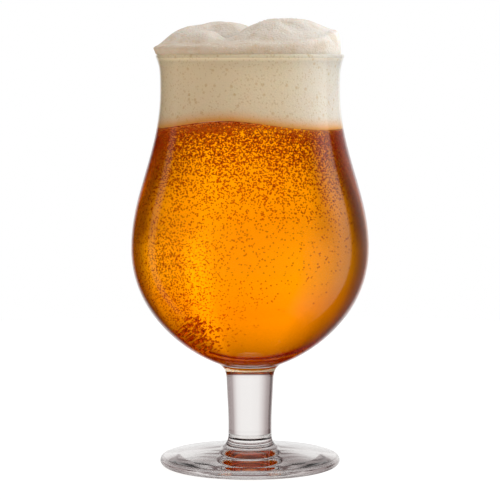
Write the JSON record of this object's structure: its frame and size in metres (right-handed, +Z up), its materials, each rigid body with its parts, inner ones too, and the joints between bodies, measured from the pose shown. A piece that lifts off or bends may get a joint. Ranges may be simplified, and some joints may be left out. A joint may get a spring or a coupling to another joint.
{
  "type": "tulip beer glass",
  "caption": "Stemmed tulip beer glass with a full belly, narrow waist and flared lip, filled with amber bubbly beer and topped with a foam head.",
  "frame": {"origin": "middle of the flat ring that the foot stands on, on the table", "axes": "+Z up along the glass's axis, -Y towards the viewer of the picture, +X to the viewer's right"},
  "size_m": [0.0952, 0.0952, 0.1796],
  "materials": {
    "clear_glass": "polished",
    "amber_beer": "glossy",
    "bubble_gas": "glossy",
    "beer_foam": "matte"
  },
  "bodies": {
    "root": {"foot": "clear_glass", "stem": "clear_glass", "bowl": "clear_glass", "beer": "amber_beer", "bubbles": "bubble_gas", "foam_head": "beer_foam", "foam_crown": "beer_foam"}
  },
  "joints": []
}
